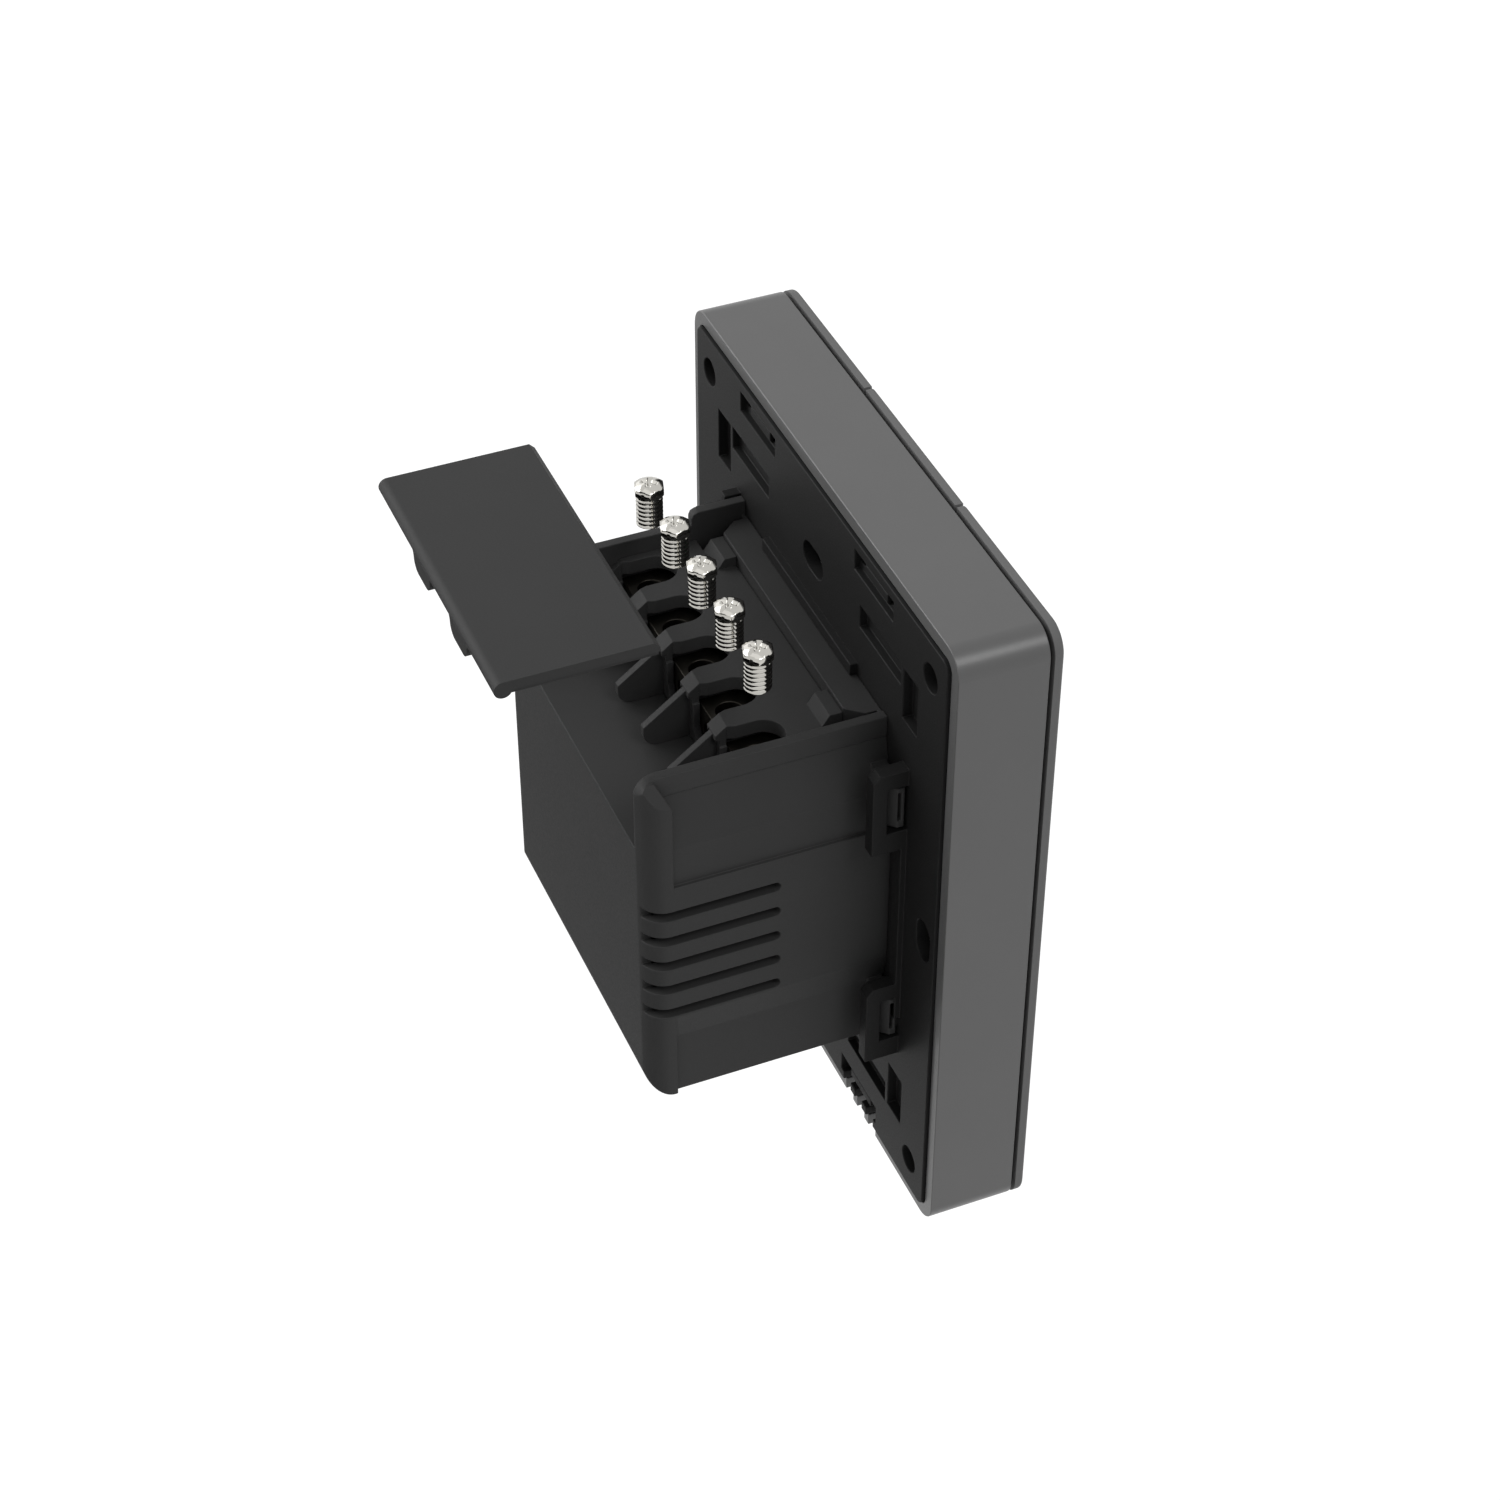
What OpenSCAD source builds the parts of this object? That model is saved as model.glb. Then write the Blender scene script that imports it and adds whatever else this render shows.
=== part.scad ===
// Flush smart light switch: a wall panel with three rocker keys, a clip-on terminal module
// behind it, and the terminal cover and screws lifted clear as they are for wiring.
// Up is +Z, the keys face -Y, and the wall lies against the back plate at Y = 0.

/* [Panel] */
// Width of the front panel
panel_w = 88.1; // [87:0.1:96]
// Height of the front panel
panel_h = 104.8; // [104:0.2:116]
// Corner radius of the panel
panel_r = 3.8; // [3.8:0.1:6]
// From the wall to the front of the keys
panel_depth = 15.3; // [15:0.1:18]
// How far the frame's rim stays clear of the wall
rim_gap = 0.5; // [0.3:0.1:1]
// Wall of the face frame
frame_wall = 2.1; // [1.8:0.1:2.2]
// Clearance between the back plate and the frame
plate_play = 0.15; // [0.1:0.05:0.3]
// Thickness of the back plate
plate_t = 2; // [1.8:0.1:2.4]

/* [Keys] */
// Thickness of a key
key_t = 1.4; // [1.3:0.1:2]
// Gap behind the keys that lets them travel
key_gap = 0.6; // [0.55:0.05:0.8]
// Slit between two keys
key_slit = 0.5; // [0.4:0.1:0.8]
// Width of the middle key
mid_key_w = 28.7; // [26:0.1:31]
// Rounding of the keys' front edges
key_round = 0.6; // [0.3:0.1:0.6]
// Diameter of the hinge pins
pin_d = 1.6; // [1.4:0.1:1.6]
// Radial clearance of a hinge pin
pin_play = 0.05; // [0.02:0.01:0.1]
// Distance of the hinge pins from the panel's top edge
pin_inset = 5.8; // [5:0.1:7]
// Height of the push buttons' axis above the panel's bottom edge
tact_inset = 18.4; // [16:0.1:24]

/* [Module] */
// Pitch of the terminals
term_pitch = 9.7; // [9.4:0.1:10.4]
// Thickness of the fins between the wires
fin_t = 1.1; // [0.9:0.1:1.4]
// Side wall beside the terminals
side_wall = 1.5; // [1.2:0.1:2]
// From the wall to the module's back
module_depth = 35.6; // [34:0.1:42]
// Top of the module's side walls
module_top = 29.2; // [28:0.1:31]
// Underside of the module
module_bottom = -27.6; // [-32:0.1:-26]
// Outer wall of the module
shell_t = 1.6; // [1.4:0.1:2]
// Level of the terminal deck
deck_z = 26.6; // [26:0.1:27]
// Level of the shelf that the wires lie on
shelf_z = 17; // [16.5:0.1:17.4]
// Back edge of the terminal deck
deck_back = 20.3; // [19.8:0.1:22]
// Width of the screwdriver slots
slot_w = 6; // [5.4:0.1:6.6]
// Height of a vent slot
vent_h = 1.6; // [1.2:0.1:2]
// Pitch of the vent slots
vent_pitch = 4.5; // [3.8:0.1:4.7]

/* [Terminal screws and cover] */
// Diameter of the screw head
head_d = 4.6; // [4.4:0.1:5]
// Height of the screw head
head_h = 2; // [1.6:0.1:2.2]
// Thread diameter
thread_d = 3.8; // [3.5:0.1:4]
// Length of the screw's shank
shank_l = 5; // [4.6:0.1:5.4]
// How far the screws stand above their seats
screw_lift = 15.8; // [15.8:0.1:20]
// Depth of the cover, front to back
cover_l = 22.2; // [21.6:0.1:22.6]
// How far the cover stands back from its seat
cover_back = 18.2; // [18:0.1:22]
// How far the cover stands above its seat
cover_up = 20.8; // [20:0.1:24]
// Side clearance of the cover
cover_play = 0.4; // [0.2:0.05:0.6]

/* [Wall fixing] */
// Diameter of the corner fixing holes
fix_d = 4.2; // [3.6:0.1:4.6]
// Distance between the corner holes, side to side
fix_w = 74.2; // [73:0.1:75]
// Distance between the corner holes, top to bottom
fix_h = 89.4; // [88:0.1:90.4]
// Width of the adjusting slots
adjust_w = 4.2; // [3.6:0.1:4.6]
// Length of the adjusting slots
adjust_l = 6.6; // [6:0.1:8]
// Height of the top and bottom slots above and below the middle
adjust_z = 37.3; // [37:0.1:37.8]
// Distance of the side slots from the middle
adjust_x = 38.4; // [38:0.1:38.6]

/* [Hidden] */
$fn = 48;
eps = 0.01;

// Depths of the panel's layers, from the keys back to the wall
front_y = -panel_depth;
key_back_y = front_y + key_t;
frame_front_y = key_back_y + key_gap;
web_drop = 1.4;
web_t = 1.5;
web_front_y = frame_front_y + web_drop;
web_back_y = web_front_y + web_t;
boss_l = 1.3;
board_front_y = web_back_y + boss_l;
board_t = 1.6;
board_back_y = board_front_y + board_t;

// Keys: places across the panel, hinge and push button
half_w = panel_w / 2;
half_h = panel_h / 2;
side_key_in = mid_key_w / 2 + key_slit;
side_key_x = (side_key_in + half_w) / 2;
pin_z = half_h - pin_inset;
pin_y = key_back_y + pin_d / 2 + 0.1;
pin_half = 9;
bracket_in = 4;
bracket_t = 2;
ear_t = 1.6;
ear_h = 3.2;
tact_z = -half_h + tact_inset;
tact_size = 6;
tact_h = 3.5;
plunger_r = 1.7;
plunger_play = 0.05;
plunger_out = 0.9;
plunger_in = 0.8;
press_room = 0.5;
nib_gap = 0.1;
hook_z = -half_h + 7.8;
hook_w = 5;
light_r = 0.8;
light_rise = 10;
light_z = tact_z + light_rise;

// Terminals: places across the module, levels from the shelf up
term_n = 5;
bay_half = (term_n * term_pitch - fin_t) / 2;
top_half = bay_half + side_wall;
slope_half = top_half - 0.2;
upper_half = top_half + 1.8;
vent_half = top_half + 2.4;
foot_half = top_half + 1.6;
cavity_half = foot_half - side_wall;
cell_w = term_pitch - fin_t;
shoulder_z = module_top - 3.3;
slope_h = 8;
vent_band_top = 11.5;
vent_band_bottom = -12.6;
foot_slope = 4.4;
back_edge_r = 3.6;
band_back = module_depth - 4.1;
band_skew = 0.8;
rim_edge_r = 1;
post_slope_h = 3.8;
top_edge_r = 3;
bottom_edge_r = 3.8;
strip_y = 4.6;
strip_z = deck_z + 2.2;
strip_corner = 20.9;
strip_half = 23;
strip_chamfer = 2.4;
pit_back = 7.7;
pit_d = 2.6;
pad_in = 15.8;
pad_out = 21;
pad_z = deck_z + 1.6;
pad_back = 6.5;
pad_foot = 7.6;
carrier_play = 0.05;
cavity_top = shelf_z - shell_t;
deck_t = 2.2;
screw_y = deck_back - 4.1;
slot_front = screw_y - 3.8;
head_top = deck_z - 0.4;
head_z = head_top - head_h;
tip_z = head_z - shank_l;
block_w = cell_w - 0.7;
block_bottom = cavity_top + 1.1;
block_top = head_z - 0.8;
block_back = deck_back - 1.1;
block_front = block_back - 7.6;
wire_r = 2.1;
wire_z = block_bottom + wire_r + 1;
vent_front = 17;
vent_in = cavity_half - 0.4;
vent_mid_z = -2.5;
land_w = 3;
land_front = deck_back - 1.1;
land_back = deck_back + 0.6;
land_low = deck_z - 1.3;
fin_back = deck_back + 6.8;
fin_top = land_low - 0.2;
fin_low = fin_top - 4.7;
fin_round = 2.2;

// Module cover
cover_t = module_top - deck_z - 0.1;
cover_half = bay_half - cover_play;
cover_front = module_depth - 0.5 - cover_l;
lip_drop = 3.4;
lip_w = 10;
lip_x = 7.4;

// Power board and what it carries
power_z = cavity_top - 0.8;
power_low = power_z - board_t;
power_half = cavity_half - 0.5;
tail_r = 0.5;
header_z = power_low - 1.3;
pin_n = 8;
header_pitch = 2;
header_pin = 0.64;
header_front = 1.2;
header_back = 3.7;

// Snap clips between the plate and the module
clip_t = 2.2;
clip_back = 5.2;
clip_gap = 2.6;
clip_l = 13.8;
clip_upper_z = 18.7;
clip_lower_z = -20.4;
clip_bar = 2.2;
clip_top = 2.7;
clip_foot = 3.4;
clip_chamfer = 1;
catch_gap = 0.4;

// Colours as they look in daylight
dark_plastic = "#464646";
soft_plastic = "#4c4c4c";
black_plastic = "#262626";
chrome = "#d8d8d8";
brass = "#b8964f";
board_green = "#1f5a3a";

function term_x(i) = (2 - i) * term_pitch;
function fin_x(i) = term_x(i) - term_pitch / 2;

// A box between two limits on each axis
module block(x, y, z) {
    translate([x[0], y[0], z[0]])
        cube([x[1] - x[0], y[1] - y[0], z[1] - z[0]]);
}

// A rod along X, Y or Z
module x_rod(y, z, r, x0, x1) {
    translate([x0, y, z])
        rotate([0, 90, 0])
            cylinder(h = x1 - x0, r = r);
}
module y_rod(x, z, r, y0, y1) {
    translate([x, y0, z])
        rotate([-90, 0, 0])
            cylinder(h = y1 - y0, r = r);
}
module z_rod(x, y, r, z0, z1) {
    translate([x, y, z0])
        cylinder(h = z1 - z0, r = r);
}

// A rectangle with round corners, drawn about its middle
module rounded_rect(w, h, r) {
    square([w - 2 * r, h], center = true);
    square([w, h - 2 * r], center = true);
    for (sx = [-1, 1])
        for (sy = [-1, 1])
            translate([sx * (w / 2 - r), sy * (h / 2 - r)])
                circle(r);
}

// An outline in X and Z, extruded along Y
module along_y(y0, y1) {
    translate([0, y1, 0])
        rotate([90, 0, 0])
            linear_extrude(y1 - y0)
                children();
}

// An outline in Y and Z, extruded along X
module along_x(x0, x1) {
    translate([x0, 0, 0])
        rotate([90, 0, 90])
            linear_extrude(x1 - x0)
                children();
}

// The same form on the left and on the right
module both_sides() {
    children();
    mirror([1, 0, 0])
        children();
}

// The same form above and below the middle
module above_below() {
    children();
    mirror([0, 0, 1])
        children();
}

// A slot with round ends, drawn about its middle
module stadium(l, w) {
    square([l - w, w], center = true);
    for (s = [-1, 1])
        translate([s * (l - w) / 2, 0])
            circle(w / 2);
}

// Frame: outer wall, web behind the keys, hinge hooks, bosses and plate hooks
module face_frame() {
    color(dark_plastic) {
        difference() {
            along_y(frame_front_y, -rim_gap)
                rounded_rect(panel_w, panel_h, panel_r);
            along_y(web_back_y, 1)
                rounded_rect(panel_w - 2 * frame_wall, panel_h - 2 * frame_wall, panel_r - frame_wall);
            along_y(frame_front_y - 1, web_front_y)
                rounded_rect(panel_w - 3, panel_h - 3, panel_r - 1.5);
            key_windows(0);
            key_windows(side_key_x);
            key_windows(-side_key_x);
            pry_notches(half_h - 2 * frame_wall, half_h + 1);
        }
        hinge_hooks(0);
        hinge_hooks(side_key_x);
        hinge_hooks(-side_key_x);
        both_sides()
            above_below()
                plate_hook();
        for (x = [-1, 1])
            for (z = [board_screw_low, board_screw_high])
                translate([x * board_screw_x, 0, z])
                    screw_boss();
    }
}

board_screw_x = side_key_in - key_slit / 2;
board_screw_low = tact_z - 4;
board_screw_high = adjust_z - 1;

module screw_boss() {
    difference() {
        y_rod(0, 0, 2.4, web_back_y - eps, board_front_y);
        y_rod(0, 0, 0.95, web_back_y + 0.2, board_front_y + 1);
    }
}

// Openings in the web for a key's push button, light and retaining hook
module key_windows(x) {
    translate([x, 0, 0]) {
        along_y(web_front_y - 1, web_back_y + 1)
            translate([0, tact_z])
                square(tact_size + 1.2, center = true);
        y_rod(0, light_z, light_r + 0.8, web_front_y - 1, web_back_y + 1);
        along_y(web_front_y - 1, web_back_y + 1)
            translate([0, hook_z])
                square([hook_w + 2, 3.2], center = true);
    }
}

// Two open hooks that a key's hinge pin snaps into
module hinge_hooks(x) {
    for (s = [-1, 1])
        translate([x + s * (bracket_in + bracket_t / 2), 0, 0])
            difference() {
                block(
                    [-bracket_t / 2, bracket_t / 2],
                    [pin_y - 0.6, web_front_y + eps],
                    [pin_z - 1.9, pin_z + 1.9]
                );
                x_rod(pin_y, pin_z, pin_d / 2 + pin_play, -bracket_t, bracket_t);
            }
}

// Hook that holds the back plate in the frame
plate_slot_in = 13.4;
plate_slot_out = 25.6;
plate_slot_low = half_h - 7;
plate_slot_high = half_h - 3.8;
plate_ledge = 0.9;
plate_ledge_y = -1;

module plate_hook() {
    mid = (plate_slot_in + plate_slot_out) / 2;
    root_z = plate_slot_low + plate_ledge + 0.3;
    along_x(mid - 3.5, mid + 3.5)
        polygon([
            [web_back_y - eps, root_z],
            [web_back_y - eps, root_z + 1.4],
            [-0.4, root_z + 1.2],
            [-0.4, root_z - 0.2],
            [plate_ledge_y + 0.05, root_z - 0.8],
            [plate_ledge_y + 0.05, root_z]
        ]);
}

// Three prying notches at each side of the lower edge, between two depths from the middle
module pry_notches(z0, z1) {
    for (s = [-1, 1])
        for (k = [-1, 0, 1])
            translate([s * ((plate_slot_in + plate_slot_out) / 2 + 4 * k), 0, 0])
                block([-1.2, 1.2], [-3.2, 1], [-z1, -z0]);
}

// One key: a plate with rounded front edges, ribs, hinge pin, hook and button nib
module key(side) {
    x0 = side < 0 ? -half_w : side * side_key_in - (1 - side) * mid_key_w / 2;
    x1 = side > 0 ? half_w : side * side_key_in + (1 + side) * mid_key_w / 2;
    mid = side * side_key_x;
    color(soft_plastic) {
        difference() {
            key_plate(x0, x1, side == 0 ? [] : [side]);
            y_rod(mid, light_z, light_r, front_y - 1, key_back_y + 1);
        }
        translate([mid, 0, 0]) {
            x_rod(pin_y, pin_z, pin_d / 2, -pin_half, pin_half);
            for (s = [-1, 1])
                translate([s * pin_half, 0, 0])
                    block(
                        [-ear_t / 2, ear_t / 2],
                        [key_back_y - eps, pin_y + pin_d / 2],
                        [pin_z - ear_h / 2, pin_z + ear_h / 2]
                    );
            y_rod(0, tact_z, 1.5, key_back_y - eps, nib_y);
            key_hook();
        }
        for (x = [x0 + rib_inset, x1 - rib_inset])
            block([x - 0.5, x + 0.5], [key_back_y - eps, key_back_y + rib_h], [hook_z, pin_z - 5]);
    }
}

nib_y = board_front_y - tact_h - plunger_out - nib_gap;
rib_inset = 3.5;
rib_h = 1;

// Plate of a key: straight edges rounded at the front, and the panel's own round corners
module key_plate(x0, x1, corner_sides) {
    difference() {
        intersection() {
            along_x(x0, x1)
                front_rounded(-half_h, half_h);
            along_z(-half_h, half_h)
                mirror([1, -1])
                    front_rounded(x0, x1);
        }
        for (sx = corner_sides)
            for (sz = [-1, 1])
                translate([sx * half_w, front_y, sz * half_h])
                    cube([2 * panel_r, 3 * key_t, 2 * panel_r], center = true);
    }
    for (sx = corner_sides)
        for (sz = [-1, 1])
            mirror([sx < 0 ? 1 : 0, 0, 0])
                mirror([0, 0, sz < 0 ? 1 : 0])
                    translate([half_w - panel_r, 0, half_h - panel_r])
                        round_corner();
}

// Outline of a key's edge: first its depth, then along it, rounded at the front
module front_rounded(a, b) {
    translate([front_y + key_round, a])
        square([key_t - key_round, b - a]);
    translate([front_y, a + key_round])
        square([key_t, b - a - 2 * key_round]);
    for (v = [a + key_round, b - key_round])
        translate([front_y + key_round, v])
            circle(key_round);
}

// A quarter of a disc with a rounded front rim
module round_corner() {
    intersection() {
        rotate([-90, 0, 0])
            rotate_extrude()
                intersection() {
                    mirror([1, -1])
                        front_rounded(-panel_r, panel_r);
                    translate([0, front_y])
                        square([panel_r, key_t]);
                }
        block([0, panel_r + 1], [front_y - 1, key_back_y + 1], [0, panel_r + 1]);
    }
}

// Hook that keeps a key from swinging out past its rest place
module key_hook() {
    along_x(-hook_w / 2, hook_w / 2)
        polygon([
            [key_back_y - eps, hook_z - 0.6],
            [key_back_y - eps, hook_z + 0.6],
            [web_back_y + 0.05, hook_z + 0.6],
            [web_back_y + 0.05, hook_z + 2],
            [web_back_y + 0.55, hook_z + 2],
            [web_back_y + 0.95, hook_z + 0.9],
            [web_back_y + 0.95, hook_z - 0.6]
        ]);
}

module key_left() {
    key(-1);
}
module key_middle() {
    key(0);
}
module key_right() {
    key(1);
}

// Clear pipe that brings the indicator light to the key's face
module light_pipe(x) {
    color([0.9, 0.95, 1])
        y_rod(x, light_z, light_r, front_y, key_back_y + 0.4);
}

// Back plate: flat against the wall, with holes, pockets, clip loops and a skirt
module back_plate() {
    inner_w = panel_w - 2 * (frame_wall + plate_play);
    inner_h = panel_h - 2 * (frame_wall + plate_play);
    inner_r = panel_r - frame_wall - plate_play;
    color(dark_plastic) {
        difference() {
            union() {
                along_y(-plate_t, 0)
                    rounded_rect(inner_w, inner_h, inner_r);
                difference() {
                    along_y(-plate_t - 3.5, -plate_t + eps)
                        rounded_rect(inner_w, inner_h, inner_r);
                    along_y(-plate_t - 5, 1)
                        rounded_rect(inner_w - 2.4, inner_h - 2.4, inner_r - 1.2);
                }
            }
            for (sx = [-1, 1])
                for (sz = [-1, 1])
                    y_rod(sx * fix_w / 2, sz * fix_h / 2, fix_d / 2, -plate_t - 1, 1);
            above_below()
                along_y(-plate_t - 1, 1)
                    translate([0, adjust_z])
                        stadium(adjust_l, adjust_w);
            both_sides()
                along_y(-plate_t - 1, 1)
                    translate([adjust_x, 0])
                        rotate([0, 0, 90])
                            stadium(adjust_l, adjust_w);
            both_sides()
                above_below()
                    plate_pockets();
            pry_notches(plate_slot_high - 1, half_h);
            block([-header_half - 2, header_half + 2], [-plate_t - 1, 1], [header_z - 3.4, power_z + 1.4]);
        }
        both_sides() {
            clip_loop(clip_upper_z);
            clip_loop(clip_lower_z);
            block(
                [vent_half + clip_gap, vent_half + clip_gap + clip_t],
                [-eps, collar_h],
                [clip_lower_z, clip_upper_z - clip_l / 2 + eps]
            );
        }
        block([bracket_x, bracket_x + bracket_w], [-eps, bracket_l], [module_top + 0.4, module_top + 2.2]);
        block([-bar_half, bar_half], [-eps, bar_t], [strip_z + 0.1, strip_z + bar_h]);
    }
}

header_half = pin_n * header_pitch / 2;
collar_h = 0.9;
bracket_x = top_half + 0.3;
bracket_w = 1.6;
bracket_l = 2.5;
bar_half = 15.2;
bar_t = 1.1;
bar_h = 2;

// Slot for a frame hook, and the long and the tall pocket beside it
long_pocket_in = 15.5;
long_pocket_inset = 15.2;
long_pocket_w = 13;
long_pocket_h = 3.6;
long_pocket_d = 1.2;
tall_pocket_in = 29.4;
tall_pocket_inset = 20.1;
tall_pocket_w = 4.4;
tall_pocket_h = 8.2;
tall_pocket_d = 1.5;
module plate_pockets() {
    along_y(-plate_t - 1, 1)
        translate([plate_slot_in, plate_slot_low + plate_ledge])
            square([plate_slot_out - plate_slot_in, plate_slot_high - plate_slot_low - plate_ledge]);
    along_y(plate_ledge_y, 1)
        translate([plate_slot_in, plate_slot_low])
            square([plate_slot_out - plate_slot_in, 2]);
    along_y(-long_pocket_d, 1)
        translate([long_pocket_in, half_h - long_pocket_inset])
            square([long_pocket_w, long_pocket_h]);
    along_y(-tall_pocket_d, 1)
        translate([tall_pocket_in, half_h - tall_pocket_inset])
            square([tall_pocket_w, tall_pocket_h]);
}

// Spring loop on the plate: two legs and a far bar, with a sloping upper outer corner
module clip_loop(z) {
    x0 = vent_half + clip_gap;
    difference() {
        along_x(x0, x0 + clip_t)
            polygon([
                [-eps, z - clip_l / 2],
                [clip_back, z - clip_l / 2],
                [clip_back, z + clip_l / 2 - clip_chamfer],
                [clip_back - clip_chamfer, z + clip_l / 2],
                [-eps, z + clip_l / 2]
            ]);
        block(
            [x0 - 1, x0 + clip_t + 1],
            [0, clip_back - clip_bar],
            [z - clip_l / 2 + clip_foot, z + clip_l / 2 - clip_top]
        );
    }
}

// Catch on the module's side that snaps into a clip loop, with a slit down its face
module housing_catch(z) {
    low = z - clip_l / 2 + clip_foot + catch_gap;
    high = z + clip_l / 2 - clip_top - catch_gap;
    out = vent_half + clip_gap + clip_t - 0.3;
    difference() {
        along_z(low, high)
            polygon([
                [cavity_half + 0.2, 0.4],
                [out, 0.4],
                [out, 1.4],
                [out - 1.1, clip_back - clip_bar - catch_gap],
                [cavity_half + 0.2, clip_back - clip_bar - catch_gap]
            ]);
        block([out - 1, out + 1], [0.9, 1.4], [low + 1.2, high - 0.8]);
    }
}

// An outline in X and Y, extruded along Z
module along_z(z0, z1) {
    translate([0, 0, z0])
        linear_extrude(z1 - z0)
            children();
}

// The module's plan at one width, with rounded back corners
module module_plan(half, r) {
    translate([-half, 0])
        square([2 * half, module_depth - r]);
    translate([-half + r, 0])
        square([2 * (half - r), module_depth]);
    for (s = [-1, 1])
        translate([s * (half - r), module_depth - r])
            circle(r);
}

// The module's outer form: recessed and sloped sides, rounded back and bottom edges
module housing_form() {
    difference() {
        along_z(shoulder_z, module_top)
            module_plan(top_half, rim_edge_r);
        top_back_edge();
    }
    difference() {
        along_z(module_bottom, module_top - 0.5)
            module_plan(vent_half, back_edge_r);
        top_back_edge();
        both_sides() {
            along_y(-1, module_depth + 1)
                polygon([
                    [vent_half, module_top - post_slope_h],
                    [top_half, module_top],
                    [vent_half + 5, module_top],
                    [vent_half + 5, module_top - post_slope_h]
                ]);
            side_recess([
                [upper_half, vent_band_top],
                [upper_half, shoulder_z - slope_h],
                [slope_half, shoulder_z],
                [slope_half, module_top],
                [vent_half + 5, module_top],
                [vent_half + 5, vent_band_top]
            ]);
            side_recess([
                [vent_half, vent_band_bottom],
                [foot_half, vent_band_bottom - foot_slope],
                [foot_half, module_bottom - 1],
                [vent_half + 5, module_bottom - 1],
                [vent_half + 5, vent_band_bottom]
            ]);
        }
        along_x(-vent_half - 1, vent_half + 1)
            difference() {
                translate([module_depth - bottom_edge_r, module_bottom - 1])
                    square([bottom_edge_r + 1, bottom_edge_r + 1]);
                translate([module_depth - bottom_edge_r, module_bottom + bottom_edge_r])
                    circle(bottom_edge_r);
            }
    }
}

// What rounds the upper back edge of the side walls
module top_back_edge() {
    along_x(-vent_half - 1, vent_half + 1)
        difference() {
            translate([module_depth - top_edge_r, module_top - top_edge_r])
                square(top_edge_r + 1);
            translate([module_depth - top_edge_r, module_top - top_edge_r])
                circle(top_edge_r);
        }
}

// What a recessed band takes off the side, up to where the back corner's rounding starts
module side_recess(outline) {
    intersection() {
        along_y(-1, module_depth)
            polygon(outline);
        along_z(module_bottom - 2, module_top + 1)
            polygon([
                [foot_half - 4, -1],
                [vent_half + 6, -1],
                [vent_half + 6, band_back],
                [vent_half, band_back],
                [foot_half - 4, band_back + band_skew * (vent_half - foot_half + 4)]
            ]);
    }
}

// Moulded housing of the module, open to the plate and, above the shelf, to the back
module rear_housing() {
    color(dark_plastic) {
        difference() {
            housing_form();
            block(
                [-cavity_half, cavity_half],
                [-1, module_depth - shell_t],
                [module_bottom + shell_t, cavity_top]
            );
            block([-bay_half, bay_half], [-1, strip_y + 1], [strip_z, module_top + 1]);
            block([-bay_half, bay_half], [strip_y, module_depth + 1], [shelf_z, module_top + 1]);
            block([-bay_half, bay_half], [strip_y, deck_back], [cavity_top - 1, shelf_z + 1]);
            both_sides() {
                side_vents();
                along_z(deck_z - pit_d, module_top + 1)
                    polygon([
                        [strip_corner, strip_y],
                        [strip_half, strip_y - strip_chamfer],
                        [strip_half, 0.6],
                        [bay_half, 0.6],
                        [bay_half, strip_y + 1],
                        [strip_corner, strip_y + 1]
                    ]);
            }
            bottom_vents();
        }
        both_sides() {
            housing_catch(clip_upper_z);
            housing_catch(clip_lower_z);
            block(
                [power_half - 0.8, cavity_half + eps],
                [2, module_depth - shell_t - 1],
                [power_low - 1.2, power_low]
            );
        }
        along_x(bay_half, top_half)
            polygon([
                [0, module_top - eps],
                [arm_back, module_top - eps],
                [arm_back, module_top + 1],
                [arm_back - 0.3, module_top + 1.7],
                [arm_back - 1, module_top + 2],
                [0, module_top + 2]
            ]);
    }
}

arm_back = 8.3;

// Slots through a side wall that run round the back corner
module side_vents() {
    for (k = [-2 : 2])
        translate([0, 0, vent_mid_z + k * vent_pitch]) {
            block([vent_in, vent_half + 1], [vent_front, module_depth + 1], [-vent_h / 2, vent_h / 2]);
            x_rod(vent_front, 0, vent_h / 2, vent_in, vent_half + 1);
        }
}

// Slots through the floor that run up the rounded back edge
module bottom_vents() {
    for (k = [-2 : 2])
        translate([k * vent_pitch, 0, 0]) {
            block(
                [-vent_h / 2, vent_h / 2],
                [vent_front, module_depth + 1],
                [module_bottom - 1, module_bottom + shell_t + 0.6]
            );
            z_rod(0, vent_front, vent_h / 2, module_bottom - 1, module_bottom + shell_t + 0.6);
        }
}

// Moulded carrier of the terminals: deck with screwdriver slots, cells and fins
module terminal_carrier() {
    half = bay_half - carrier_play;
    color(dark_plastic) {
        difference() {
            union() {
                block(
                    [-half, half],
                    [strip_y + carrier_play, deck_back],
                    [cavity_top + carrier_play, deck_z]
                );
                block([-half, half], [land_front, land_back], [deck_z - deck_t, deck_z]);
            }
            for (i = [0 : term_n - 1])
                translate([term_x(i), 0, 0])
                    terminal_cell();
            both_sides()
                block([pad_out, half + 1], [strip_y - 1, pit_back], [deck_z - pit_d, deck_z + 1]);
            along_x(-half - 1, half + 1)
                polygon([
                    [land_front, deck_z + eps],
                    [land_back + 0.1, land_low - 0.1],
                    [land_back + 1, land_low - 0.1],
                    [land_back + 1, deck_z + 1],
                    [land_front, deck_z + 1]
                ]);
        }
        both_sides()
            deck_pad();
        for (i = [0 : term_n - 2])
            translate([fin_x(i), 0, 0])
                fin();
    }
}

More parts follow.
